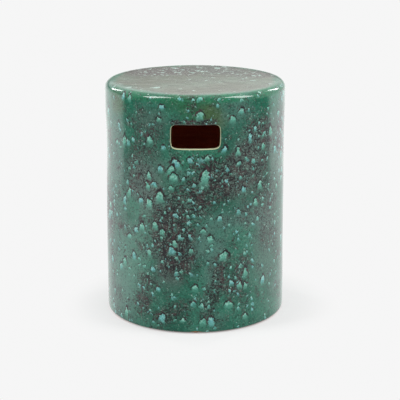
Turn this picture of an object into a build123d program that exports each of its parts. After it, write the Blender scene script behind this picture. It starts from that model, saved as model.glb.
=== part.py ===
from build123d import *
import math
import os

# A hollow drum stool of fired clay: a moulded wall, a slab luted on top as the seat, a coil of clay in the
# corner under it, a coat of glaze over the outside, and pads under the bare foot.
# Millimetres. Z is up from the floor, the axis of the drum is Z, and the front hand hole faces -Y.

# The drum as it is seen, over the glaze
height = 450.0  # floor to seat
rim_radius = 172.0  # upright band under the edge of the seat
rim_flare = 1.9  # the band stands out from the wall below it by this much
band_height = 45.0  # from the seat down to the foot of the band
flare_height = 60.0  # from the foot of the band down to the straight wall
wall_draft = 2.6  # the foot's radius is larger than the waist's, so that the mould draws off
seat_edge_round = 13.0
foot_round = 6.0

# Clay and glaze
glaze = 1.0  # thickness of the coat
wall = 9.0  # clay wall
slab = 14.0  # clay seat, at its middle
slab_step = 5.0  # how far the slab drops inside the wall
slip_gap = 0.3  # joint between the slab's step and the wall
coil = 12.0  # leg of the coil in the corner under the seat
coil_hollow = 1.5  # how far a thumb has pressed the coil's face in
bare_foot = 0.8  # the glaze stops this far above the foot

# Thickened foot inside the wall
foot_height = 14.0
foot_slope = 12.0  # height of the slope from the foot up to the wall
foot_soften = 5.0  # rounding of the slope's corners

# Hand holes, one in front and one behind
hole_width = 88.0  # clear, over the glaze
hole_height = 44.0
hole_corner = 9.0
hole_drop = 75.0  # from the seat down to the middle of the hole
lip_round = 3.0  # outer lip, over the glaze
inner_lip_round = 2.0
lip_glaze_depth = 6.0  # the glaze turns in over the lip and stops this far into the wall

# Pads under the foot
pad_count = 6
pad_radius = 7.0
pad_thickness = 2.0
pad_margin = 0.5  # bare clay left on each side of a pad

# Slack for finding the edges of a hand hole's mouth, which all lie on one skin of the wall
mouth_slack = 2.0

# Worked out from the sizes above
waist_radius = rim_radius - rim_flare
foot_radius = waist_radius + wall_draft
band_base = height - band_height
flare_base = band_base - flare_height
wall_lean = wall_draft / (flare_base - pad_thickness)  # inwards for each millimetre up
flare_middle = (band_base + flare_base) / 2  # where the hollow of the flare turns into its swell
flare_middle_radius = waist_radius + (rim_flare - wall_lean * flare_height / 4) / 2
hole_z = height - hole_drop
slab_under = height - glaze - slab
joint_z = slab_under + slab_step
pad_circle = foot_radius - foot_round - pad_margin - pad_radius
foot_inner_radius = pad_circle - pad_radius - pad_margin


def draft_radius(z):
    """Radius of the drafted wall at a height, over the glaze, with the straight carried on past the flare."""
    return foot_radius - wall_lean * (z - pad_thickness)


def inner_radius(z):
    """Radius of the bare inside of the wall at a height."""
    return draft_radius(z) - glaze - wall


def soften(face, corner, radius):
    """The face with the corner nearest to a point rounded."""
    nearest = face.vertices().sort_by_distance(Vector(*corner))[0]
    return fillet(nearest, radius)


def turn(face):
    """Solid of revolution from a section drawn with its radius along X and its height along Y."""
    return revolve(Plane.XZ * face, Axis.Z)


def outer_form(inset):
    """The drum as one solid block inside its outer skin, taken in by inset all round."""
    foot_z = pad_thickness - glaze + inset
    top_z = height - inset
    foot = (foot_radius - inset, foot_z)
    waist = (waist_radius - inset, flare_base)
    middle = (flare_middle_radius - inset, flare_middle)
    band = (rim_radius - inset, band_base)
    rim = (rim_radius - inset, top_z)
    side = Line(foot, waist)
    hollow = TangentArc(waist, middle, tangent=side % 1)
    swell = TangentArc(middle, band, tangent=hollow % 1)
    ends = Polyline(band, rim, (0, top_z), (0, foot_z), foot)
    section = make_face(side + hollow + swell + ends)
    section = soften(section, rim, seat_edge_round - inset)
    section = soften(section, foot, foot_round - inset)
    return turn(section)


def hand_hole_tools(inset):
    """The two prisms that cut the hand holes, larger than the clear hole by inset all round."""
    outline = RectangleRounded(hole_width + 2 * inset, hole_height + 2 * inset, hole_corner + inset)
    front = Plane(origin=(0, 0, hole_z), x_dir=(1, 0, 0), z_dir=(0, -1, 0))
    prism = extrude(front * outline, amount=2 * foot_radius)
    return prism + Rot(0, 0, 180) * prism


def mouth_edges(shape, inset, at_radius):
    """Edges around the hand holes' mouths whose ends lie on the skin that has about this radius."""
    half_width = hole_width / 2 + inset + mouth_slack
    half_height = hole_height / 2 + inset + mouth_slack

    def in_mouth(edge):
        middle = edge @ 0.5
        beside = abs(middle.X) < half_width and abs(middle.Z - hole_z) < half_height
        reach = [math.hypot(point.X, point.Y) for point in edge.vertices()]
        return beside and all(abs(r - at_radius) < mouth_slack for r in reach)

    return ShapeList(edge for edge in shape.edges() if in_mouth(edge))


def pocketed_form(inset, lip):
    """The outer form with a pocket for each hand hole, as deep as the glaze turns in, and a rounded lip."""
    core = Cylinder(waist_radius - lip_glaze_depth, height, align=(Align.CENTER, Align.CENTER, Align.MIN))
    form = outer_form(inset) - (hand_hole_tools(inset) - core)
    mouths = mouth_edges(form, inset, flare_middle_radius - inset)
    return fillet(mouths, lip)


def make_glaze_coat():
    """Coat between the glazed skin and the clay skin, trimmed above the foot."""
    coat = pocketed_form(0, lip_round) - pocketed_form(glaze, lip_round - glaze)
    glaze_line = Plane.XY.offset(pad_thickness + bare_foot)
    return split(coat, bisect_by=glaze_line, keep=Keep.TOP)


def make_inside():
    """The empty inside of the wall, narrower at the thickened foot."""
    foot_top = pad_thickness + foot_height
    slope_top = foot_top + foot_slope
    below = pad_thickness - foot_height
    ledge = (foot_inner_radius, foot_top)
    start = (inner_radius(slope_top), slope_top)
    outline = Polyline(
        (0, below),
        (foot_inner_radius, below),
        ledge,
        start,
        (inner_radius(height), height),
        (0, height),
        close=True,
    )
    section = make_face(outline)
    section = soften(section, ledge, foot_soften)
    section = soften(section, start, foot_soften)
    return turn(section)


def make_drum_wall():
    """Clay wall up to the joint with the slab, pierced by the hand holes, with both lips rounded."""
    clay = split(outer_form(glaze), bisect_by=Plane.XY.offset(joint_z), keep=Keep.BOTTOM)
    shell = clay - make_inside() - hand_hole_tools(glaze)
    outer_mouths = mouth_edges(shell, glaze, flare_middle_radius - glaze)
    shell = fillet(outer_mouths, lip_round - glaze)
    inner_mouths = mouth_edges(shell, glaze, inner_radius(hole_z))
    return fillet(inner_mouths, inner_lip_round)


def make_seat_slab():
    """Clay slab that lies on the wall, with a step that drops inside it."""
    rim = split(outer_form(glaze), bisect_by=Plane.XY.offset(joint_z), keep=Keep.TOP)
    step = Cylinder(
        inner_radius(joint_z) - slip_gap,
        slab_step,
        align=(Align.CENTER, Align.CENTER, Align.MIN),
    )
    return rim + Pos(0, 0, slab_under) * step


def make_seat_coil():
    """Coil of clay in the corner between the slab and the wall, pressed hollow."""
    corner = Vector(inner_radius(slab_under), slab_under)
    on_slab = Vector(corner.X - coil, slab_under)
    on_wall = Vector(inner_radius(slab_under - coil), slab_under - coil)
    chord_middle = (on_slab + on_wall) / 2
    pressed = chord_middle + (corner - chord_middle).normalized() * coil_hollow
    face = ThreePointArc(on_wall, pressed, on_slab)
    legs = Polyline(on_slab, corner, on_wall)
    return turn(make_face(face + legs))


def make_floor_pad(index):
    """One pad under the foot. The first is below the front hand hole."""
    angle = math.radians(-90 + 360 / pad_count * index)
    disc = Cylinder(pad_radius, pad_thickness, align=(Align.CENTER, Align.CENTER, Align.MIN))
    return Pos(pad_circle * math.cos(angle), pad_circle * math.sin(angle), 0) * disc


def main():
    pieces = {
        "drum_wall": make_drum_wall(),
        "seat_slab": make_seat_slab(),
        "seat_coil": make_seat_coil(),
        "glaze_coat": make_glaze_coat(),
    }
    for index in range(pad_count):
        pieces[f"floor_pad_{index + 1}"] = make_floor_pad(index)
    os.makedirs("parts", exist_ok=True)
    for name, piece in pieces.items():
        export_step(piece, f"parts/{name}.step")
        print(name, "volume in cubic centimetres:", round(piece.volume / 1000, 2))


main()
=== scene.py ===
import math

import bmesh
import bpy
from mathutils import Matrix, Vector


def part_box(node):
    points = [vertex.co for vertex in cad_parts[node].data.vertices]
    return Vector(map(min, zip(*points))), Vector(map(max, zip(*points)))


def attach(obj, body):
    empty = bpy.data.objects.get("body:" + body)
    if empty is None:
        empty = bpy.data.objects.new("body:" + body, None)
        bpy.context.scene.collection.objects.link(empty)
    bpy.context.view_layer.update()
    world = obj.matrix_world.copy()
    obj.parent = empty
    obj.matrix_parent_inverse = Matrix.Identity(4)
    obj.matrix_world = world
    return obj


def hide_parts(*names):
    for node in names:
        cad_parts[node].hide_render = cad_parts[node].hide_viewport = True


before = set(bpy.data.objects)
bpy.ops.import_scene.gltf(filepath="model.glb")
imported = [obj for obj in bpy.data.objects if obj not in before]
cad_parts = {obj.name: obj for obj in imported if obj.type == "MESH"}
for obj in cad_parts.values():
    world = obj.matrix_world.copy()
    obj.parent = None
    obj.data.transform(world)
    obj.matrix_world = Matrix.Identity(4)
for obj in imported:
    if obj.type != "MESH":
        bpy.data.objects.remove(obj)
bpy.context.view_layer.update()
coatLow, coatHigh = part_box("glaze_coat")
seatHeight = coatHigh.z
footRadius = coatHigh.x
print("frame loaded, seat at", round(seatHeight, 4), "m")


# small helpers for building node trees
def plug(tree, socket, value):
    if isinstance(value, bpy.types.NodeSocket):
        tree.links.new(value, socket)
    elif value is not None:
        socket.default_value = value


def calc(tree, operation, first, second=None, third=None):
    node = tree.nodes.new("ShaderNodeMath")
    node.operation = operation
    for socket, value in zip(node.inputs, (first, second, third)):
        plug(tree, socket, value)
    return node.outputs[0]


def vecCalc(tree, operation, first, second=None, third=None):
    node = tree.nodes.new("ShaderNodeVectorMath")
    node.operation = operation
    plug(tree, node.inputs[0], first)
    plug(tree, node.inputs["Scale"] if operation == "SCALE" else node.inputs[1], second)
    plug(tree, node.inputs[2], third)
    return node.outputs["Value" if operation in ("DOT_PRODUCT", "LENGTH") else "Vector"]


# from low to high, in step with a share of 0 to 1
def between(tree, share, low, high):
    return calc(tree, "MULTIPLY_ADD", share, high - low, low)


def softStep(tree, value, fromLow, fromHigh, toLow=0.0, toHigh=1.0):
    node = tree.nodes.new("ShaderNodeMapRange")
    node.interpolation_type = "SMOOTHSTEP"
    node.clamp = False  # a smooth step keeps within its ends by itself
    for name, given in (("Value", value), ("From Min", fromLow), ("From Max", fromHigh),
                        ("To Min", toLow), ("To Max", toHigh)):
        plug(tree, node.inputs[name], given)
    return node.outputs["Result"]


def blend(tree, amount, under, over):
    node = tree.nodes.new("ShaderNodeMix")
    node.data_type = "RGBA"
    plug(tree, node.inputs["Factor"], amount)
    plug(tree, node.inputs["A"], under)
    plug(tree, node.inputs["B"], over)
    return node.outputs["Result"]


def noise(tree, vector, scale, detail=2.0, roughness=0.5, distortion=0.0, seed=0.0, output="Fac"):
    node = tree.nodes.new("ShaderNodeTexNoise")
    if seed:
        node.noise_dimensions = "4D"
        node.inputs["W"].default_value = seed
    for name, given in (("Vector", vector), ("Scale", scale), ("Detail", detail),
                        ("Roughness", roughness), ("Distortion", distortion)):
        plug(tree, node.inputs[name], given)
    return node.outputs[output]


def split(tree, vector):
    node = tree.nodes.new("ShaderNodeSeparateXYZ")
    plug(tree, node.inputs[0], vector)
    return node.outputs


def splitColor(tree, color):
    node = tree.nodes.new("ShaderNodeSeparateColor")
    plug(tree, node.inputs[0], color)
    return node.outputs


def join(tree, x, y, z):
    node = tree.nodes.new("ShaderNodeCombineXYZ")
    for socket, value in zip(node.inputs, (x, y, z)):
        plug(tree, socket, value)
    return node.outputs[0]


def srgb(red, green, blue):
    parts = [v / 255 for v in (red, green, blue)]
    return (*[p / 12.92 if p < 0.04045 else ((p + 0.055) / 1.055) ** 2.4 for p in parts], 1.0)


def newMaterial(name):
    material = bpy.data.materials.new(name)
    material.use_nodes = True
    return material, material.node_tree, material.node_tree.nodes["Principled BSDF"]


def objectCoords(tree):
    return tree.nodes.new("ShaderNodeTexCoord").outputs["Object"]


def addBump(tree, height, strength, distance):
    node = tree.nodes.new("ShaderNodeBump")
    node.inputs["Strength"].default_value = strength
    node.inputs["Distance"].default_value = distance
    plug(tree, node.inputs["Height"], height)
    return node.outputs["Normal"]


# the coat of glaze, in metres: a turned skin with rounded lips at the hand holes
coat = {
    "thickness": 0.0009,
    "rimFlare": 0.0019,
    "bandHeight": 0.045,
    "flareHeight": 0.060,
    "wallDraft": 0.0026,
    "edgeRound": 0.013,
    "footRound": 0.006,
    "footPlane": 0.001,  # height where the rounding of the foot would end
    "holeDrop": 0.075,
    "holeHalf": (0.044, 0.022),  # clear opening, half width and half height
    "holeCorner": 0.009,
    "lipRound": 0.003,
    "lipDepth": 0.0062,
    "lipThin": (0.4, 1.0, 1.0, 0.9, 0.6),  # how thin the glaze is at each step over the lip
    "columns": 144,
    "footRows": (0.004, 0.0065, 0.011, 0.018),  # heights of the lowest rows
    "wallRows": 23,
    "holeRows": 8,
    "holeColumns": 6,  # to each side of the middle
    "flareRows": 4,
    "edgeRows": 5,
    "seatRings": 10,
    "sway": 0.0003,  # how far the wall wanders from true
    "swayWaves": ((1.0, 2, 11, 0.0), (0.7, 3, -17, 1.3), (0.5, 5, 29, 0.4)),  # share, waves, twist, start
    "swayFrom": 0.1,  # the middle of the seat, up to this radius, stays true
    "footWaves": ((0.0002, 7, 0.6), (0.00015, 16, 2.0)),  # along the lower edge: height, waves, start
    "footReach": 0.03,  # these lift the rows up to here
    "padAngles": [math.radians(-90 + 60 * step) for step in range(6)],
    "padLift": (0.0024, 2.6),  # the edge draws up over each pad: height, half width in degrees
}


def skinRadius(z):
    bandBase = seatHeight - coat["bandHeight"]
    flareBase = bandBase - coat["flareHeight"]
    slope = coat["wallDraft"] / (flareBase - coat["footPlane"])
    radius = footRadius - slope * (min(z, bandBase) - coat["footPlane"])
    arcZ = coat["footPlane"] + coat["footRound"]
    if z < arcZ:
        radius -= coat["footRound"] - math.sqrt(coat["footRound"] ** 2 - (arcZ - z) ** 2)
    if z > flareBase:
        share = min((z - flareBase) / coat["flareHeight"], 1.0)
        swell = share * share * (3 - 2 * share)
        radius += (coat["rimFlare"] + slope * coat["flareHeight"] * share) * swell
    return radius


def onWall(degrees, height):  # degrees to the right of the front
    angle = math.radians(degrees)
    radius = skinRadius(height)
    return Vector((radius * math.sin(angle), -radius * math.cos(angle), height))


# a tree for a node group, with its inputs and outputs by name
def newGroup(name, inputs, outputs):
    tree = bpy.data.node_groups.new(name, "ShaderNodeTree")
    for side, names in (("INPUT", inputs), ("OUTPUT", outputs)):
        for each in names:
            kind = "NodeSocketVector" if each == "Position" else "NodeSocketFloat"
            tree.interface.new_socket(name=each, in_out=side, socket_type=kind)
    return tree, tree.nodes.new("NodeGroupInput").outputs, tree.nodes.new("NodeGroupOutput").inputs


def useGroup(tree, group, **given):
    node = tree.nodes.new("ShaderNodeGroup")
    node.node_tree = group
    for name, value in given.items():
        plug(tree, node.inputs[name.capitalize()], value)
    return node.outputs


dripForm = {
    "arch": 0.7,  # how far the top edge falls away to the sides
    "point": 0.4,  # 0 for a round top, 1 for a pointed one
    "flare": 0.3,  # wider below than above
    # steps in half widths from the middle: how crisp each edge is
    "topStep": (0.84, 1.0, 1.0, 0.0),
    "sideStep": (0.6, 0.95, 1.0, 0.0),
    "tailStep": (-1.1, 0.2),
    "crestStep": (-0.1, 0.8),
    "browStep": (0.88, 1.0),
    "browTopStep": (1.26, 1.6, 1.0, 0.0),
    "browSideStep": (1.0, 1.8, 1.0, 0.0),
    "thinnest": 0.001,  # keeps the width of a hidden drip over zero
}


# one drip: a shell with a crisp arched top, a dark brow over it and a tail that melts into the glaze
def dripShapeGroup():
    form = dripForm
    tree, given, out = newGroup("dripShape", ("Across", "Rise", "Deep", "Size", "Tall", "Lean"),
                                ("Body", "Brow", "Tail", "Crest"))
    sunk = calc(tree, "DIVIDE", given["Deep"], given["Size"])
    shown = calc(tree, "SUBTRACT", 1.0, calc(tree, "MULTIPLY", sunk, sunk))
    shown = calc(tree, "SQRT", calc(tree, "MAXIMUM", shown, form["thinnest"]))
    half = calc(tree, "MULTIPLY", given["Size"], shown)
    across = calc(tree, "MULTIPLY_ADD", given["Rise"], given["Lean"], given["Across"])
    across = calc(tree, "ABSOLUTE", calc(tree, "DIVIDE", across, half))
    rise = calc(tree, "DIVIDE", given["Rise"], calc(tree, "MULTIPLY", half, given["Tall"]))
    fall = calc(tree, "MULTIPLY", across, between(tree, across, form["point"], 1.0))
    arch = calc(tree, "MULTIPLY_ADD", fall, form["arch"], rise)
    width = calc(tree, "MULTIPLY", across, calc(tree, "MULTIPLY_ADD", rise, form["flare"], 1.0))
    top = softStep(tree, arch, *form["topStep"])
    side = softStep(tree, width, *form["sideStep"])
    tail = softStep(tree, rise, *form["tailStep"])
    browEdge = softStep(tree, arch, *form["browStep"])
    brow = calc(tree, "MULTIPLY", browEdge, softStep(tree, arch, *form["browTopStep"]))
    brow = calc(tree, "MULTIPLY", brow, softStep(tree, across, *form["browSideStep"]))
    plug(tree, out["Body"], calc(tree, "MULTIPLY", calc(tree, "MULTIPLY", top, side), tail))
    plug(tree, out["Brow"], brow)
    plug(tree, out["Tail"], tail)
    plug(tree, out["Crest"], softStep(tree, arch, *form["crestStep"]))
    return tree


dripCells = {
    "flow": 0.7,  # cells are taller than wide, as the glaze runs down
    "randomness": 0.85,
    "sizes": (0.5, 1.0),  # smallest and largest, as shares of the layer's size
    "tall": (1.05, 1.75),
    "lean": (-0.4, 0.4),
    "keepStep": (-0.02, 0.02),
}


# a layer of drips, one to a cell, more of them where keep is higher
def dripLayerGroup(shape):
    tree, given, out = newGroup("dripLayer", ("Position", "Spacing", "Size", "Keep", "Seat"),
                                ("Body", "Brow", "Tail", "Crest", "Tint"))
    flow = dripCells["flow"]
    stretched = vecCalc(tree, "MULTIPLY", given["Position"], (1.0, 1.0, flow))
    scale = calc(tree, "DIVIDE", 1.0, given["Spacing"])
    cells = tree.nodes.new("ShaderNodeTexVoronoi")
    plug(tree, cells.inputs["Vector"], stretched)
    plug(tree, cells.inputs["Scale"], scale)
    cells.inputs["Randomness"].default_value = dripCells["randomness"]
    centre = vecCalc(tree, "MULTIPLY", cells.outputs["Position"], (1.0, 1.0, 1 / flow))
    away = vecCalc(tree, "SUBTRACT", given["Position"], centre)
    chance = splitColor(tree, cells.outputs["Color"])

    # down the wall, and outwards on the seat
    outward = vecCalc(tree, "NORMALIZE", vecCalc(tree, "MULTIPLY", given["Position"], (1.0, 1.0, 0.0)))
    facing = split(tree, outward)
    sideways = join(tree, calc(tree, "MULTIPLY", facing[1], -1.0), facing[0], 0.0)
    across = vecCalc(tree, "DOT_PRODUCT", away, sideways)
    outside = vecCalc(tree, "DOT_PRODUCT", away, outward)
    up = split(tree, away)[2]
    tipped = calc(tree, "ADD", up, outside)
    rise = calc(tree, "MULTIPLY_ADD", tipped, calc(tree, "MULTIPLY", given["Seat"], -1.0), up)
    deep = calc(tree, "MULTIPLY_ADD", calc(tree, "SUBTRACT", up, outside), given["Seat"], outside)
    size = calc(tree, "MULTIPLY", given["Spacing"], given["Size"])
    size = calc(tree, "MULTIPLY", size, between(tree, chance[0], *dripCells["sizes"]))
    tall = between(tree, chance[2], *dripCells["tall"])
    lean = between(tree, chance[2], *dripCells["lean"])
    drip = useGroup(tree, shape, across=across, rise=rise, deep=deep, size=size, tall=tall, lean=lean)
    here = softStep(tree, calc(tree, "SUBTRACT", given["Keep"], chance[1]), *dripCells["keepStep"])
    for name in ("Body", "Brow"):
        plug(tree, out[name], calc(tree, "MULTIPLY", drip[name], here))
    plug(tree, out["Tail"], drip["Tail"])
    plug(tree, out["Crest"], drip["Crest"])
    plug(tree, out["Tint"], chance[2])
    return tree


glazeLook = {
    "green": srgb(54, 122, 101),
    "deepGreen": srgb(31, 98, 79),
    "greyGreen": srgb(87, 126, 116),
    "slate": srgb(84, 104, 98),
    "ashGreen": srgb(110, 126, 120),
    "mist": srgb(88, 138, 122),
    "teal": srgb(16, 104, 80),
    "leaf": srgb(40, 106, 68),
    "spring": srgb(44, 126, 98),
    "olive": srgb(84, 98, 56),
    "drift": srgb(64, 72, 70),  # glaze clouded by the grain
    "charcoal": srgb(38, 34, 38),
    "umber": srgb(72, 54, 57),
    "edgeGreen": srgb(20, 120, 80),
    "seatGrey": srgb(98, 116, 94),
    "seatOlive": srgb(88, 96, 72),
    "seatBrown": srgb(68, 56, 30),
    "seatSoot": srgb(46, 36, 20),
    "seatMoss": srgb(60, 84, 58),
    "seatPale": srgb(178, 200, 186),
    "seatGreen": srgb(56, 112, 84),
    "pale": srgb(158, 208, 192),
    "aqua": srgb(100, 174, 154),
    "skyAqua": srgb(108, 182, 186),
    "ash": srgb(120, 144, 132),
    "cream": srgb(198, 204, 166),
    "roughness": (0.09, 0.26),  # clear glaze and dark grain
    "worn": (1.0, 0.15),  # share of the grain's roughness that is left on the wall and on the seat
    "ior": 1.6,
    "ripple": (1.6, 0.7),  # waves in the glaze, on the wall and on the seat
    "relief": 0.5,  # how far the drips stand out
    "bump": (0.35, 0.0005),  # strength and depth of both
    "veil": (0.58, 0.08),  # how far the streams cloud the wall and the seat
    "veinWidth": 0.078,
    "pepper": (0.6, 0.75),  # in clear glaze and in the streams
    "salt": (0.4, 0.7),
    "uneven": 0.0120,  # how far the outlines of the drips are bent
    "ragged": 1.8,  # edges of pools and streams, as a share of their reach
    "solid": 0.15,  # share of the reach before they fade
    "seatRagged": 0.04,  # edge of the seat's own tones
    "sootOnSeat": 0.8,  # how far soot and drips take the seat's tones
    "dripsOnSeat": 0.7,
    "seatSparse": 0.85,  # share of the stray drips that the seat is spared
    "runDepth": 0.3,  # how fast a larger drip narrows off the wall
    "skyEvery": 3,  # every third of the larger drips is bluer
    # noises: scale, detail, roughness, distortion, seed
    "wanderNoise": (16.0, 5.0, 0.62),
    "cloudNoise": (14.0, 4.0, 0.6, 0.4),
    "hazeNoise": (10.0, 3.0, 0.5, 0.0, 3.0),
    "tingeNoise": (14.0, 3.0, 0.5, 0.0, 5.0),
    "strayNoise": (24.0, 4.0, 0.62, 0.0, 9.0),
    "sootNoise": (90.0, 2.0),
    "ridgeNoise": (95.0, 4.0, 0.6, 1.4),
    "grainNoise": (290.0, 3.0, 0.65, 0.0, 7.0),
    "warpNoise": (180.0, 4.0, 0.6),
    "mottleNoise": (300.0, 2.0),
    "rippleNoise": (45.0, 2.0),
    # steps: where they start and end, and the amounts there if they aren't 0 and 1
    "cloudStep": (0.38, 0.6),
    "hazeStep": (0.48, 0.66, 0.0, 0.8),
    "seatStep": (0.145, 0.159, 1.0, 0.0),
    "edgeStep": (0.35, 0.6, 0.2, 0.75),
    "tingeStep": (0.4, 0.6),
    "strayStep": (0.48, 0.68, 0.0, 0.5),
    "sootStep": (0.45, 0.65),
    "veinStep": (-0.012, 0.016, 0.95, 0.0),
    "pepperStep": (0.46, 0.38),
    "saltStep": (0.56, 0.64),
    "crestStep": (0.4, 0.62, 0.0, 0.85),
    "bodyStep": (0.36, 0.5, 0.55, 0.0),
    "lipStep": (0.45, 0.85),
    "flatDrop": (0.004, 0.001),  # metres below the seat
    "edgeDrop": (0.018, 0.009),
    "lipRun": (0.0175, 0.023, 1.0, 0.1),  # metres over the middle of the hand hole
    "frontReach": (-0.12, -0.08),  # metres along Y, where the larger drips are placed one by one
    # pools and streams: places in degrees from the front and metres up, reach, strength
    "pools": (
        ("greyGreen", ((-60, 0.36), (-62, 0.12)), 0.060, 0.6),
        ("slate", ((60, 0.38), (56, 0.20), (46, 0.12)), 0.055, 0.55),
        ("mist", ((-34, 0.20), (-46, 0.10)), 0.070, 0.6),
        ("slate", ((-20, 0.14), (-17, 0.11)), 0.040, 0.8),
        ("slate", ((-38, 0.40), (-25, 0.405)), 0.035, 0.5),
        ("ashGreen", ((-35, 0.31), (-28, 0.25)), 0.060, 0.65),
        ("ashGreen", ((37, 0.34), (29, 0.29)), 0.062, 0.7),
        ("teal", ((43, 0.436), (47, 0.420)), 0.036, 1.0),
        ("teal", ((-43, 0.443), (-46, 0.428)), 0.034, 0.95),
        ("teal", ((-44, 0.39), (-41, 0.36)), 0.034, 0.5),
        ("leaf", ((-8, 0.44), (6, 0.42)), 0.045, 0.8),
        ("spring", ((-7, 0.342), (9, 0.338)), 0.036, 0.8),
        ("olive", ((9, 0.425), (14, 0.405)), 0.032, 0.55),
        ("olive", ((-57, 0.425),), 0.032, 0.5),
        ("teal", ((170, 0.43),), 0.036, 0.9),
        ("teal", ((-105, 0.425), (-112, 0.40)), 0.034, 0.8),
        ("leaf", ((174, 0.34), (-172, 0.335)), 0.034, 0.7),
        ("olive", ((98, 0.425), (104, 0.41)), 0.034, 0.7),
        ("olive", ((-150, 0.42),), 0.034, 0.7),
        ("slate", ((120, 0.12), (128, 0.09)), 0.042, 0.7),
        ("slate", ((-140, 0.30), (-132, 0.26)), 0.042, 0.7),
    ),
    "seatPools": (  # places across and back from the middle of the seat
        ("seatBrown", ((-0.083, 0.073), (-0.03, 0.10)), 0.075, 1.0),
        ("seatMoss", ((0.03, 0.11), (0.09, 0.08)), 0.075, 0.9),
        ("seatBrown", ((0.124, 0.05),), 0.045, 0.7),
        ("seatGreen", ((-0.142, -0.085),), 0.045, 0.8),
    ),
    "streams": (
        (((-15, 0.155), (-18, 0.225), (-1, 0.262), (13, 0.288)), 0.066, 1.0),
        (((13, 0.288), (38, 0.318), (43, 0.375)), 0.058, 0.72),
        (((30, 0.300), (47, 0.270), (53, 0.180)), 0.048, 0.45),
        (((-32, 0.370), (-37, 0.330), (-36, 0.270), (-26, 0.250)), 0.046, 0.5),
        (((17, 0.138), (14, 0.094), (8, 0.043)), 0.030, 0.8),
        (((-32, 0.097), (-36, 0.043)), 0.028, 0.75),
        (((31, 0.132), (26, 0.090)), 0.030, 0.7),
        (((-22, 0.030), (-9, 0.048)), 0.024, 0.65),
        (((-13, 0.4015), (11, 0.4015)), 0.010, 1.0),
        (((-9.5, 0.293), (-4, 0.305), (1.5, 0.316)), 0.0035, 1.0),
        (((6, 0.317), (10, 0.300)), 0.0035, 1.0),
        (((75, 0.360), (95, 0.300), (112, 0.220), (125, 0.170)), 0.048, 1.0),
        (((150, 0.330), (168, 0.290), (-172, 0.230), (-160, 0.150)), 0.050, 1.0),
        (((-75, 0.200), (-95, 0.270), (-118, 0.330)), 0.045, 0.9),
        (((100, 0.100), (96, 0.050)), 0.030, 0.8),
        (((-100, 0.110), (-108, 0.050)), 0.030, 0.85),
        (((148, 0.100), (152, 0.050)), 0.026, 0.8),
        (((-140, 0.190), (-135, 0.110)), 0.030, 0.8),
    ),
    # layers: spacing in metres, size as a share of it, shares kept in clear glaze and in the streams,
    # how much of that is left on the front, and their two tones
    "layers": (
        (0.0042, 0.46, 0.08, 0.45, 1.0, "ash", "greyGreen"),
        (0.0085, 0.50, 0.18, 0.62, 1.0, "aqua", "skyAqua"),
        (0.0170, 0.38, 0.22, 0.45, 0.45, "aqua", "skyAqua"),
        (0.0300, 0.32, 0.80, 0.95, 0.0, "aqua", "skyAqua"),
    ),
    "runs": (  # the larger drips on the front: degrees, height, half width, tall, lean
        (-12, 0.323, 0.0090, 1.3, 0.3), (-15.5, 0.311, 0.0074, 1.6, -0.3), (-13.5, 0.297, 0.0084, 1.2, 0),
        (-22, 0.312, 0.0056, 1.5, 0), (-30, 0.297, 0.0050, 1.8, 0.1), (-31, 0.278, 0.0050, 1.8, 0),
        (-26.5, 0.283, 0.0066, 0.9, 0), (-15, 0.278, 0.0056, 1.1, 0.1), (-22.5, 0.259, 0.0088, 1.6, 0),
        (-36, 0.248, 0.0056, 1.5, 0.1), (-30, 0.244, 0.0066, 1.7, 0.1), (-46, 0.259, 0.0050, 2.2, -0.25),
        (-50.5, 0.241, 0.0045, 2.4, -0.2), (-26, 0.204, 0.0062, 1.7, 0), (-35.5, 0.197, 0.0062, 1.8, 0),
        (-40, 0.190, 0.0050, 1.3, 0.2), (-21, 0.193, 0.0056, 1.5, 0), (-13, 0.174, 0.0048, 1.8, 0.1),
        (-15, 0.159, 0.0078, 1.2, 0), (5.5, 0.296, 0.0090, 2.2, -0.15), (7, 0.335, 0.0056, 1.1, 0),
        (31, 0.271, 0.0056, 1.3, 0), (44, 0.273, 0.0062, 1.7, 0), (40.5, 0.242, 0.0058, 1.6, 0.1),
        (15, 0.220, 0.0060, 1.0, 0), (4.5, 0.199, 0.0052, 1.1, 0), (9, 0.182, 0.0066, 1.4, 0.1),
        (-20.5, 0.427, 0.0055, 1.1, 0), (-22.5, 0.405, 0.0055, 1.1, 0.3), (-29, 0.364, 0.0066, 1.4, 0.1),
        (-20, 0.353, 0.0055, 1.1, 0), (2.5, 0.413, 0.0078, 1.2, -0.1), (23, 0.404, 0.0066, 1.1, 0),
        (35.5, 0.365, 0.0052, 2.0, 0), (54, 0.370, 0.0056, 2.2, 0.15), (47, 0.345, 0.0052, 1.6, 0),
        (17.5, 0.349, 0.0062, 1.3, -0.3), (27, 0.343, 0.0058, 1.6, 0), (-3, 0.161, 0.0056, 1.2, 0),
        (-42, 0.137, 0.0056, 1.8, 0.1), (-30, 0.150, 0.0048, 1.8, 0), (-51, 0.120, 0.0060, 1.8, -0.1),
        (-24, 0.083, 0.0056, 1.0, 0), (-0.5, 0.089, 0.0062, 1.3, 0), (-49.5, 0.019, 0.0050, 2.6, -0.1),
        (-21.5, 0.026, 0.0068, 1.6, -0.2), (17, 0.147, 0.0095, 1.2, -0.4), (32.5, 0.110, 0.0055, 2.2, 0),
        (22.5, 0.095, 0.0052, 1.3, 0.2), (28.5, 0.087, 0.0058, 1.2, 0), (32.5, 0.085, 0.0048, 1.7, 0),
        (47.5, 0.085, 0.0058, 2.0, -0.1), (21, 0.052, 0.0090, 0.9, 0.1), (4.5, 0.022, 0.0068, 1.4, -0.2),
        (9.5, 0.023, 0.0068, 1.5, 0.1), (32.5, 0.024, 0.0058, 1.2, 0), (-50.5, 0.352, 0.0052, 2.6, -0.2),
        (-50, 0.437, 0.0050, 1.6, 0), (-44, 0.436, 0.0046, 1.6, 0),
    ),
}


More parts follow.
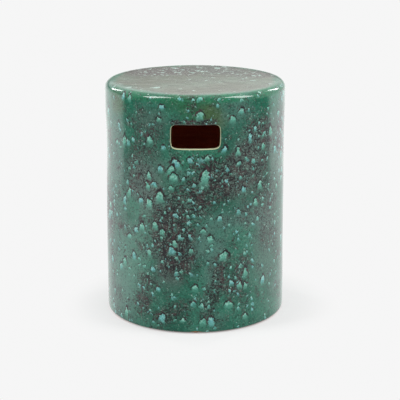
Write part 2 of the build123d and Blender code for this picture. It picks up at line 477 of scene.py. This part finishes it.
# 1 along a chain of places, down to 0 at its reach, with a ragged edge
def chainMask(tree, place, wander, spots, reach, strength):
    near = None
    for start, end in zip(spots, spots[1:] or spots):
        along = end - start
        away = vecCalc(tree, "SUBTRACT", place, start)
        share = vecCalc(tree, "DOT_PRODUCT", away, along / (along.length_squared or 1.0))
        share = calc(tree, "MINIMUM", calc(tree, "MAXIMUM", share, 0.0), 1.0)
        reached = vecCalc(tree, "SCALE", along, share)
        away = vecCalc(tree, "LENGTH", vecCalc(tree, "SUBTRACT", away, reached))
        near = away if near is None else calc(tree, "MINIMUM", near, away)
    near = calc(tree, "MULTIPLY_ADD", wander, reach * glazeLook["ragged"], near)
    return softStep(tree, near, reach * glazeLook["solid"], reach, strength, 0.0)


# clouds of lighter, deeper and greyer green, with pools of other greens
def cloudedGreen(tree, place, wander):
    look = glazeLook
    cloud = noise(tree, place, *look["cloudNoise"])
    color = blend(tree, softStep(tree, cloud, *look["cloudStep"]), look["deepGreen"], look["green"])
    haze = noise(tree, place, *look["hazeNoise"])
    color = blend(tree, softStep(tree, haze, *look["hazeStep"]), color, look["greyGreen"])
    for tone, chain, reach, strength in look["pools"]:
        spots = [onWall(*spot) for spot in chain]
        color = blend(tree, chainMask(tree, place, wander, spots, reach, strength), color, look[tone])
    return color


# greyer and browner tones for the seat, and where they are dark
def seatColor(tree, place, wander, tinge):
    look = glazeLook
    color = blend(tree, softStep(tree, tinge, *look["tingeStep"]), look["seatOlive"], look["seatGrey"])
    dark = 0.0
    for tone, chain, reach, strength in look["seatPools"]:
        spots = [Vector((*spot, seatHeight)) for spot in chain]
        pool = chainMask(tree, place, wander, spots, reach, strength)
        color = blend(tree, pool, color, look[tone])
        if tone != "seatGreen":
            dark = calc(tree, "MAXIMUM", dark, pool)
    return color, dark


# adds the streams, and a few stray ones, to what is dark already
def darkStreams(tree, place, wander, dark):
    look = glazeLook
    stray = noise(tree, place, *look["strayNoise"])
    dark = calc(tree, "MAXIMUM", dark, softStep(tree, stray, *look["strayStep"]))
    for chain, reach, strength in look["streams"]:
        spots = [onWall(*spot) for spot in chain]
        dark = calc(tree, "MAXIMUM", dark, chainMask(tree, place, wander, spots, reach, strength))
    return dark


# color of a drip: palest at its crest, the green of the glaze at its tail
def dripTone(tree, drip, tone, mottle):
    look = glazeLook
    body = blend(tree, drip["Tail"], look["green"], tone)
    crest = calc(tree, "MULTIPLY", drip["Crest"], softStep(tree, mottle, *look["crestStep"]))
    body = blend(tree, crest, body, look["pale"])
    return blend(tree, softStep(tree, mottle, *look["bodyStep"]), body, look["green"])


# the larger drips on the front, each over the ones before it: color, bodies and brows
def placedDrips(tree, shape, uneven, mottle):
    look = glazeLook
    color, bodies, brows = look["aqua"], 0.0, 0.0
    for index, (degrees, level, size, tall, lean) in enumerate(look["runs"]):
        angle = math.radians(degrees)
        out = Vector((math.sin(angle), -math.cos(angle), 0))
        away = vecCalc(tree, "SUBTRACT", uneven, onWall(degrees, level))
        drip = useGroup(
            tree, shape,
            across=vecCalc(tree, "DOT_PRODUCT", away, (math.cos(angle), math.sin(angle), 0)),
            rise=vecCalc(tree, "DOT_PRODUCT", away, (0, 0, 1)),
            deep=calc(tree, "MULTIPLY", vecCalc(tree, "DOT_PRODUCT", away, out), look["runDepth"]),
            size=size, tall=tall, lean=lean,
        )
        tone = look["aqua"] if index % look["skyEvery"] else look["skyAqua"]
        color = blend(tree, drip["Body"], color, dripTone(tree, drip, tone, mottle))
        left = calc(tree, "MULTIPLY", bodies, calc(tree, "SUBTRACT", 1.0, drip["Brow"]))
        bodies = calc(tree, "MAXIMUM", left, drip["Body"])
        brows = calc(tree, "MAXIMUM", brows, drip["Brow"])
    return color, bodies, brows


# lays drips on a color: soot in their brows, then their bodies
def layDrips(tree, color, brow, body, soot, tone):
    color = blend(tree, brow, color, soot)
    return blend(tree, body, color, tone)


def belowSeat(drops):
    return [seatHeight - drop for drop in drops]


def glazeMaterial():
    look = glazeLook
    material, tree, shader = newMaterial("reactiveGlaze")
    place = objectCoords(tree)
    xyz = split(tree, place)
    height = xyz[2]
    wander = calc(tree, "SUBTRACT", noise(tree, place, *look["wanderNoise"]), 0.5)
    flat = softStep(tree, height, *belowSeat(look["flatDrop"]))
    inward = vecCalc(tree, "LENGTH", vecCalc(tree, "MULTIPLY", place, (1, 1, 0)))
    inward = calc(tree, "MULTIPLY_ADD", wander, look["seatRagged"], inward)
    seat = softStep(tree, inward, *look["seatStep"])
    color = cloudedGreen(tree, place, wander)

    # clear green where the glaze thins over the edge, then the seat
    tinge = noise(tree, place, *look["tingeNoise"])
    edge = softStep(tree, height, *belowSeat(look["edgeDrop"]))
    edge = calc(tree, "MULTIPLY", edge, softStep(tree, tinge, *look["edgeStep"]))
    color = blend(tree, edge, color, look["edgeGreen"])
    seatTone, dark = seatColor(tree, place, wander, tinge)
    color = blend(tree, seat, color, seatTone)

    # dark streams: a veil with veins of soot in it
    dark = darkStreams(tree, place, wander, dark)
    veil = calc(tree, "MULTIPLY", dark, between(tree, flat, *look["veil"]))
    color = blend(tree, veil, color, look["drift"])
    soot = softStep(tree, noise(tree, place, *look["sootNoise"]), *look["sootStep"])
    soot = blend(tree, soot, look["charcoal"], look["umber"])
    soot = blend(tree, calc(tree, "MULTIPLY", flat, look["sootOnSeat"]), soot, look["seatSoot"])
    ridge = calc(tree, "SUBTRACT", noise(tree, place, *look["ridgeNoise"]), 0.5)
    ridge = calc(tree, "MULTIPLY_ADD", dark, -look["veinWidth"], calc(tree, "ABSOLUTE", ridge))
    veins = softStep(tree, ridge, *look["veinStep"])
    color = blend(tree, veins, color, soot)

    # salt and pepper all over
    grain = noise(tree, place, *look["grainNoise"])
    share = between(tree, dark, *look["pepper"])
    pepper = calc(tree, "MULTIPLY", softStep(tree, grain, *look["pepperStep"]), share)
    color = blend(tree, pepper, color, look["charcoal"])
    share = between(tree, dark, *look["salt"])
    salt = calc(tree, "MULTIPLY", softStep(tree, grain, *look["saltStep"]), share)
    color = blend(tree, salt, color, look["ash"])

    # uneven outlines for the drips
    bend = splitColor(tree, noise(tree, place, *look["warpNoise"], output="Color"))
    bend = vecCalc(tree, "SUBTRACT", join(tree, *bend), (0.5, 0.5, 0.5))
    uneven = vecCalc(tree, "MULTIPLY_ADD", bend, (look["uneven"],) * 3, place)
    mottle = noise(tree, place, *look["mottleNoise"])

    # the larger drips, then smaller ones in layers, all round and under them
    shape = dripShapeGroup()
    runTone, runBody, runBrow = placedDrips(tree, shape, uneven, mottle)
    layer = dripLayerGroup(shape)
    relief = runBody
    for spacing, size, clear, drifted, front, *tones in look["layers"]:
        keep = between(tree, dark, clear, drifted)
        keep = calc(tree, "MULTIPLY_ADD", flat, -look["seatSparse"] * clear, keep)
        if front < 1.0:
            keep = calc(tree, "MULTIPLY", keep, softStep(tree, xyz[1], *look["frontReach"], front, 1.0))
        drip = useGroup(tree, layer, position=uneven, spacing=spacing, size=size, keep=keep, seat=flat)
        tone = blend(tree, drip["Tint"], *[look[each] for each in tones])
        tone = dripTone(tree, drip, tone, mottle)
        tone = blend(tree, calc(tree, "MULTIPLY", flat, look["dripsOnSeat"]), tone, look["seatPale"])
        color = layDrips(tree, color, drip["Brow"], drip["Body"], soot, tone)
        relief = calc(tree, "MAXIMUM", relief, drip["Body"])
    color = layDrips(tree, color, runBrow, runBody, soot, runTone)

    # the glaze breaks pale where it thins over the lips of the hand holes, but not where it runs down on them
    thin = tree.nodes.new("ShaderNodeAttribute")
    thin.attribute_name = "lipThin"
    low, high, below, above = look["lipRun"]
    holeZ = seatHeight - coat["holeDrop"]
    under = softStep(tree, height, holeZ + low, holeZ + high, below, above)
    breaks = calc(tree, "MULTIPLY", softStep(tree, thin.outputs["Fac"], *look["lipStep"]), under)
    color = blend(tree, breaks, color, look["cream"])

    plug(tree, shader.inputs["Base Color"], color)
    matt = calc(tree, "MULTIPLY", veins, between(tree, flat, *look["worn"]))
    plug(tree, shader.inputs["Roughness"], between(tree, matt, *look["roughness"]))
    shader.inputs["IOR"].default_value = look["ior"]
    wave = between(tree, flat, *look["ripple"])
    ripples = noise(tree, place, *look["rippleNoise"])
    raised = calc(tree, "MULTIPLY_ADD", ripples, wave, calc(tree, "MULTIPLY", relief, look["relief"]))
    plug(tree, shader.inputs["Normal"], addBump(tree, raised, *look["bump"]))
    return material


clayLook = {
    "body": srgb(200, 106, 64),
    "dark": srgb(174, 86, 50),
    "grog": srgb(214, 140, 96),
    "cloudNoise": (14.0, 4.0, 0.6),
    "cloudStep": (0.3, 0.7),
    "grogNoise": (700.0, 1.0),
    "grogStep": (0.64, 0.7, 0.0, 0.8),
    "roughness": 0.85,
    "ringScale": 28.0,  # marks of the turning
    "ringWaver": 1.5,
    "ringDetail": 2.0,
    "gritNoise": (500.0, 3.0),
    "grit": 0.35,  # beside the rings
    "bump": (0.5, 0.0012),
}


def clayMaterial():
    look = clayLook
    material, tree, shader = newMaterial("bareClay")
    place = objectCoords(tree)
    cloud = noise(tree, place, *look["cloudNoise"])
    color = blend(tree, softStep(tree, cloud, *look["cloudStep"]), look["dark"], look["body"])
    grog = noise(tree, place, *look["grogNoise"])
    color = blend(tree, softStep(tree, grog, *look["grogStep"]), color, look["grog"])
    plug(tree, shader.inputs["Base Color"], color)
    shader.inputs["Roughness"].default_value = look["roughness"]
    rings = tree.nodes.new("ShaderNodeTexWave")
    rings.bands_direction = "Z"
    plug(tree, rings.inputs["Vector"], place)
    rings.inputs["Scale"].default_value = look["ringScale"]
    rings.inputs["Distortion"].default_value = look["ringWaver"]
    rings.inputs["Detail"].default_value = look["ringDetail"]
    grit = noise(tree, place, *look["gritNoise"])
    marks = calc(tree, "MULTIPLY_ADD", grit, look["grit"], rings.outputs["Fac"])
    plug(tree, shader.inputs["Normal"], addBump(tree, marks, *look["bump"]))
    return material


feltLook = {
    "tan": srgb(204, 164, 116),
    "brown": srgb(160, 118, 78),
    "fibreNoise": (900.0, 4.0, 0.7, 2.0),
    "fibreStep": (0.3, 0.7),
    "roughness": 1.0,
    "sheen": 0.3,
    "bump": (0.6, 0.0006),
}


def feltMaterial():
    look = feltLook
    material, tree, shader = newMaterial("tanFelt")
    place = objectCoords(tree)
    fibre = noise(tree, place, *look["fibreNoise"])
    color = blend(tree, softStep(tree, fibre, *look["fibreStep"]), look["brown"], look["tan"])
    plug(tree, shader.inputs["Base Color"], color)
    shader.inputs["Roughness"].default_value = look["roughness"]
    shader.inputs["Sheen Weight"].default_value = look["sheen"]
    plug(tree, shader.inputs["Normal"], addBump(tree, fibre, *look["bump"]))
    return material


# heights of evenly spaced rows, up to the higher end
def rowsUp(low, high, count):
    return [low + (high - low) * (row + 1) / count for row in range(count)]


def quarterTurn(steps):
    return [math.pi / 2 * step / steps for step in range(steps + 1)]


def coatProfile():
    holeZ = seatHeight - coat["holeDrop"]
    holeReach = coat["holeHalf"][1] + coat["lipRound"]
    edgeZ = seatHeight - coat["edgeRound"]
    levels = [coatLow.z, *coat["footRows"]]
    levels += rowsUp(levels[-1], holeZ - holeReach, coat["wallRows"])
    levels += rowsUp(holeZ - holeReach, holeZ + holeReach, coat["holeRows"])
    levels += rowsUp(holeZ + holeReach, edgeZ, coat["flareRows"])
    points = [Vector((skinRadius(z), 0, z)) for z in levels]
    centre = Vector((skinRadius(edgeZ) - coat["edgeRound"], 0, edgeZ))
    for turn in quarterTurn(coat["edgeRows"])[1:]:
        points.append(centre + coat["edgeRound"] * Vector((math.cos(turn), 0, math.sin(turn))))
    for step in range(1, coat["seatRings"] + 1):
        points.append(Vector((centre.x * (1 - step / coat["seatRings"]), 0, seatHeight)))
    return points


# which way is out from the clear opening, beside a point near its outline
def outlineNormal(x, z):
    halfX, halfZ = coat["holeHalf"]
    inX, inZ = halfX - coat["holeCorner"], halfZ - coat["holeCorner"]
    overX, overZ = abs(x) - inX, abs(z) - inZ
    if overX > 0 and overZ > 0:
        away = Vector((overX, overZ)).normalized()
    elif overX / halfX > overZ / halfZ:
        away = Vector((1, 0))
    else:
        away = Vector((0, 1))
    return math.copysign(away.x, x), math.copysign(away.y, z)


def openHandHole(mesh, side, lipLayer):
    holeZ = seatHeight - coat["holeDrop"]
    reachX = coat["holeHalf"][0] + coat["lipRound"]
    reachZ = coat["holeHalf"][1] + coat["lipRound"]
    corner = coat["holeCorner"] + coat["lipRound"]
    halfAngle = coat["holeColumns"] * 2 * math.pi / coat["columns"]

    def inWindow(face):
        middle = face.calc_center_median()
        aside = math.atan2(middle.x, side * middle.y)
        return abs(aside) < halfAngle and abs(middle.z - holeZ) < reachZ

    def onRim(edge):
        place = edge.verts[0].co
        return edge.is_boundary and abs(place.z - holeZ) < reachZ + coat["lipRound"] and side * place.y > 0

    bmesh.ops.delete(mesh, geom=[f for f in mesh.faces if inWindow(f)], context="FACES")
    rim = [e for e in mesh.edges if onRim(e)]
    for vert in {v for e in rim for v in e.verts}:
        x = math.atan2(vert.co.x, side * vert.co.y) / halfAngle * reachX
        z = vert.co.z - holeZ
        past = Vector((abs(x) - reachX + corner, abs(z) - reachZ + corner))
        if past.x > 0 and past.y > 0:
            past = past.normalized() * corner
            x = math.copysign(reachX - corner + past.x, x)
            z = math.copysign(reachZ - corner + past.y, z)
        radius = skinRadius(holeZ + z)
        vert.co = (x, side * math.sqrt(radius ** 2 - x ** 2), holeZ + z)

    # roll the lip in with a quarter turn, then straight into the wall
    lip = coat["lipRound"]
    turns = quarterTurn(len(coat["lipThin"]) - 1)
    steps = [(lip * math.sin(turn), lip * (1 - math.cos(turn))) for turn in turns]
    steps.append((lip, coat["lipDepth"]))
    for (inA, deepA), (inB, deepB), thin in zip(steps, steps[1:], coat["lipThin"]):
        grown = bmesh.ops.extrude_edge_only(mesh, edges=rim)["geom"]
        for vert in [g for g in grown if isinstance(g, bmesh.types.BMVert)]:
            awayX, awayZ = outlineNormal(vert.co.x, vert.co.z - holeZ)
            vert.co.x -= awayX * (inB - inA)
            vert.co.z -= awayZ * (inB - inA)
            vert.co.y -= side * (deepB - deepA)
            vert[lipLayer] = thin
        rim = [g for g in grown if isinstance(g, bmesh.types.BMEdge) and g.is_boundary]


def sway(angle, z):
    waves = [share * math.sin(count * angle + twist * z + start)
             for share, count, twist, start in coat["swayWaves"]]
    return coat["sway"] * sum(waves)


def footEdge(angle):
    waver = sum(height * math.sin(count * angle + start) for height, count, start in coat["footWaves"])
    lift, width = coat["padLift"]
    for pad in coat["padAngles"]:
        off = math.atan2(math.sin(angle - pad), math.cos(angle - pad))
        waver += lift * math.exp(-(off / math.radians(width)) ** 2)
    return waver


def makeGlazeCoat(material):
    mesh = bmesh.new()
    lipLayer = mesh.verts.layers.float.new("lipThin")
    verts = [mesh.verts.new(point) for point in coatProfile()]
    edges = [mesh.edges.new(pair) for pair in zip(verts, verts[1:])]
    bmesh.ops.spin(mesh, geom=verts + edges, cent=(0, 0, 0), axis=(0, 0, 1), angle=2 * math.pi,
                   steps=coat["columns"], use_merge=True)
    bmesh.ops.remove_doubles(mesh, verts=mesh.verts, dist=1e-6)
    for side in (-1, 1):
        openHandHole(mesh, side, lipLayer)
    for vert in mesh.verts:
        angle = math.atan2(vert.co.y, vert.co.x)
        out = Vector((math.cos(angle), math.sin(angle), 0))
        if vert.co.z < coat["footReach"]:
            vert.co.z += footEdge(angle) * (1 - vert.co.z / coat["footReach"])
            vert.co.xy = out.xy * skinRadius(vert.co.z)
        if vert.co.xy.length > coat["swayFrom"]:
            vert.co += out * sway(angle, vert.co.z)
    bmesh.ops.recalc_face_normals(mesh, faces=mesh.faces)
    data = bpy.data.meshes.new("glazeCoat")
    mesh.to_mesh(data)
    mesh.free()
    data.shade_smooth()
    piece = bpy.data.objects.new("glazeCoat", data)
    bpy.context.scene.collection.objects.link(piece)
    data.materials.append(material)
    shell = piece.modifiers.new("coatThickness", "SOLIDIFY")
    shell.thickness = coat["thickness"]
    shell.offset = -1.0
    smooth = piece.modifiers.new("smooth", "SUBSURF")
    smooth.levels = smooth.render_levels = 1
    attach(piece, "root")
    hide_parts("glaze_coat")
    return piece


glazeCoat = makeGlazeCoat(glazeMaterial())
print("glaze coat made,", len(glazeCoat.data.polygons), "faces in its cage")

floorPad = {  # felt discs, cut by hand
    "segments": 36,
    "edgeRound": 0.0005,
    "edgeSteps": 3,
    "ragged": 0.00015,
    "cuts": ((5, 90, 0), (11, 0, 70)),  # waves round the edge, and how their start goes with the pad's place
}


def makeFloorPad(name, material):
    low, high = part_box(name)
    mesh = bmesh.new()
    bmesh.ops.create_circle(mesh, cap_ends=True, segments=floorPad["segments"], radius=(high.x - low.x) / 2)
    grown = bmesh.ops.extrude_face_region(mesh, geom=mesh.faces[:])["geom"]
    bmesh.ops.translate(mesh, verts=[g for g in grown if isinstance(g, bmesh.types.BMVert)],
                        vec=(0, 0, high.z - low.z))
    bmesh.ops.recalc_face_normals(mesh, faces=mesh.faces)
    rims = [e for e in mesh.edges if len(e.link_faces[0].verts) != len(e.link_faces[1].verts)]
    bmesh.ops.bevel(mesh, geom=rims, offset=floorPad["edgeRound"], segments=floorPad["edgeSteps"],
                    profile=0.5, affect="EDGES", material=-1)
    for vert in mesh.verts:
        turn = math.atan2(vert.co.y, vert.co.x)
        cuts = [1 + math.sin(waves * turn + byX * low.x + byY * low.y)
                for waves, byX, byY in floorPad["cuts"]]
        vert.co.xy -= vert.co.xy.normalized() * floorPad["ragged"] * sum(cuts)
    bmesh.ops.translate(mesh, verts=mesh.verts, vec=((low.x + high.x) / 2, (low.y + high.y) / 2, low.z))
    data = bpy.data.meshes.new(name + "_felt")
    mesh.to_mesh(data)
    mesh.free()
    data.shade_smooth()
    pad = bpy.data.objects.new(name + "_felt", data)
    bpy.context.scene.collection.objects.link(pad)
    data.materials.append(material)
    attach(pad, "root")
    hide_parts(name)


clay = clayMaterial()
felt = feltMaterial()
for name, node in list(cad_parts.items()):
    if name.startswith("floor_pad"):
        makeFloorPad(name, felt)
    elif name != "glaze_coat":
        node.data.materials.clear()
        node.data.materials.append(clay)
print("clay laid on the drum, felt pads made")

studio = {
    "background": 0.92,
    "fill": 0.6,  # world light on the object
    "floorRadius": 8.0,
    "floorSegments": 96,
    "floorColor": (0.8, 0.8, 0.8, 1),
    "floorRoughness": 0.9,
    "floorShine": 0.1,
    "floorGlow": 0.56,  # share of the background that the floor shows beside the stool
    "shadeCentre": (0.012, 0.0, 0.0),
    "shadeReach": (0.18, 0.28),
    "underDrum": (0.160, 0.172),  # no glow inside the foot
    # what the glaze mirrors: dim in front, pale behind
    "frontGloss": 0.25,
    "backGloss": (0.36, 1.0),  # low over the horizon and higher up
    "frontToBack": (-0.6, 0.4),
    "lowToHigh": (0.168, 0.191),
    "lowTilt": 0.12,  # the low band leans to one side
    "horizon": (0.12, 0.08),  # pale again down here
    "floorGloss": (0.22, 1.0, 1.28),  # in front, at the sides, at the sides far off
    "floorBack": (-0.034, 1.0, 0.0),
    "nearToSide": (-1.0, -0.1),
    "farToSide": (0.135, 0.295),
    "nearToFar": (0.95, 1.35),
    "boxes": (  # softboxes: place, size, watts
        ((-1.45, -0.55, 2.4), (0.7, 1.5), 28),
        ((1.7, -0.5, 2.3), (0.9, 1.6), 34),
        ((-1.5, 1.35, 1.35), (0.3, 0.8), 8),
        ((1.5, 1.35, 1.35), (0.3, 0.8), 8),
    ),
    "boxAim": Vector((0, 0, 0.25)),
}


def rayKinds(tree):
    path = tree.nodes.new("ShaderNodeLightPath").outputs
    seen = calc(tree, "MAXIMUM", path["Is Camera Ray"], path["Is Transmission Ray"])
    return seen, path["Is Glossy Ray"]


def makeFloor():
    mesh = bmesh.new()
    bmesh.ops.create_circle(mesh, cap_ends=True, segments=studio["floorSegments"],
                            radius=studio["floorRadius"])
    data = bpy.data.meshes.new("studioFloor")
    mesh.to_mesh(data)
    mesh.free()
    floor = bpy.data.objects.new("studioFloor", data)
    bpy.context.scene.collection.objects.link(floor)
    material, tree, shader = newMaterial("paleFloor")
    shader.inputs["Base Color"].default_value = studio["floorColor"]
    shader.inputs["Roughness"].default_value = studio["floorRoughness"]
    shader.inputs["Specular IOR Level"].default_value = studio["floorShine"]
    # away from the stool the floor runs into the background
    place = objectCoords(tree)
    seen, glossy = rayKinds(tree)
    distance = vecCalc(tree, "LENGTH", place)
    shade = vecCalc(tree, "LENGTH", vecCalc(tree, "SUBTRACT", place, studio["shadeCentre"]))
    far = softStep(tree, shade, *studio["shadeReach"], studio["floorGlow"], 1.0)
    far = calc(tree, "MULTIPLY", far, softStep(tree, distance, *studio["underDrum"]))
    # the glaze mirrors a dim floor in front and a pale one at the sides and behind, with a sharp edge far off
    behind = vecCalc(tree, "DOT_PRODUCT", vecCalc(tree, "NORMALIZE", place), studio["floorBack"])
    frontLevel, nearLevel, farLevel = studio["floorGloss"]
    near = softStep(tree, behind, *studio["nearToSide"], frontLevel, nearLevel)
    off = softStep(tree, behind, *studio["farToSide"], frontLevel, farLevel)
    off = calc(tree, "SUBTRACT", off, near)
    mirrored = calc(tree, "MULTIPLY_ADD", off, softStep(tree, distance, *studio["nearToFar"]), near)
    level = calc(tree, "MULTIPLY_ADD", calc(tree, "SUBTRACT", mirrored, studio["background"]), glossy,
                 studio["background"])
    glow = tree.nodes.new("ShaderNodeEmission")
    plug(tree, glow.inputs["Strength"], level)
    mix = tree.nodes.new("ShaderNodeMixShader")
    plug(tree, mix.inputs[0], calc(tree, "MAXIMUM", calc(tree, "MULTIPLY", far, seen), glossy))
    plug(tree, mix.inputs[1], shader.outputs[0])
    plug(tree, mix.inputs[2], glow.outputs[0])
    plug(tree, tree.nodes["Material Output"].inputs["Surface"], mix.outputs[0])
    data.materials.append(material)


def makeWorld():
    world = bpy.data.worlds.new("studio")
    bpy.context.scene.world = world
    world.use_nodes = True
    tree = world.node_tree
    sky = tree.nodes["Background"]
    sky.inputs["Color"].default_value = (1, 1, 1, 1)
    seen, glossy = rayKinds(tree)
    toward = split(tree, tree.nodes.new("ShaderNodeTexCoord").outputs["Generated"])
    low, high = studio["backGloss"]
    leaning = calc(tree, "MULTIPLY_ADD", toward[0], studio["lowTilt"], toward[2])
    back = softStep(tree, leaning, *studio["lowToHigh"], low - studio["fill"], high - studio["fill"])
    back = calc(tree, "ADD", back, softStep(tree, toward[2], *studio["horizon"], 0.0, high - low))
    front = studio["frontGloss"] - studio["fill"]
    mirrored = softStep(tree, toward[1], *studio["frontToBack"], front, back)
    level = between(tree, seen, studio["fill"], studio["background"])
    plug(tree, sky.inputs["Strength"], calc(tree, "MULTIPLY_ADD", glossy, mirrored, level))


def addSoftbox(place, size, watts):
    data = bpy.data.lights.new("softbox", "AREA")
    data.shape = "RECTANGLE"
    data.size, data.size_y = size
    data.energy = watts
    lamp = bpy.data.objects.new("softbox", data)
    bpy.context.scene.collection.objects.link(lamp)
    lamp.location = place
    lamp.rotation_euler = (studio["boxAim"] - lamp.location).to_track_quat("-Z", "Y").to_euler()


makeFloor()
makeWorld()
for box in studio["boxes"]:
    addSoftbox(*box)

viewpoint = {
    "lens": 115.96,
    "aim": Vector((0.00935, 0, 0.21135)),
    "distance": 2.5116,
    "pitch": 15.57,  # degrees
    "turn": -0.5,
}


def makeCamera():
    data = bpy.data.cameras.new("camera")
    data.lens = viewpoint["lens"]
    camera = bpy.data.objects.new("camera", data)
    bpy.context.scene.collection.objects.link(camera)
    pitch = math.radians(viewpoint["pitch"])
    turn = math.radians(viewpoint["turn"])
    place = viewpoint["aim"] + viewpoint["distance"] * Vector((0, -math.cos(pitch), math.sin(pitch)))
    camera.location = Matrix.Rotation(turn, 4, "Z") @ place
    camera.rotation_euler = (math.pi / 2 - pitch, 0, turn)
    bpy.context.scene.camera = camera


makeCamera()
bpy.context.scene.view_settings.view_transform = "Standard"
print("studio and camera set")
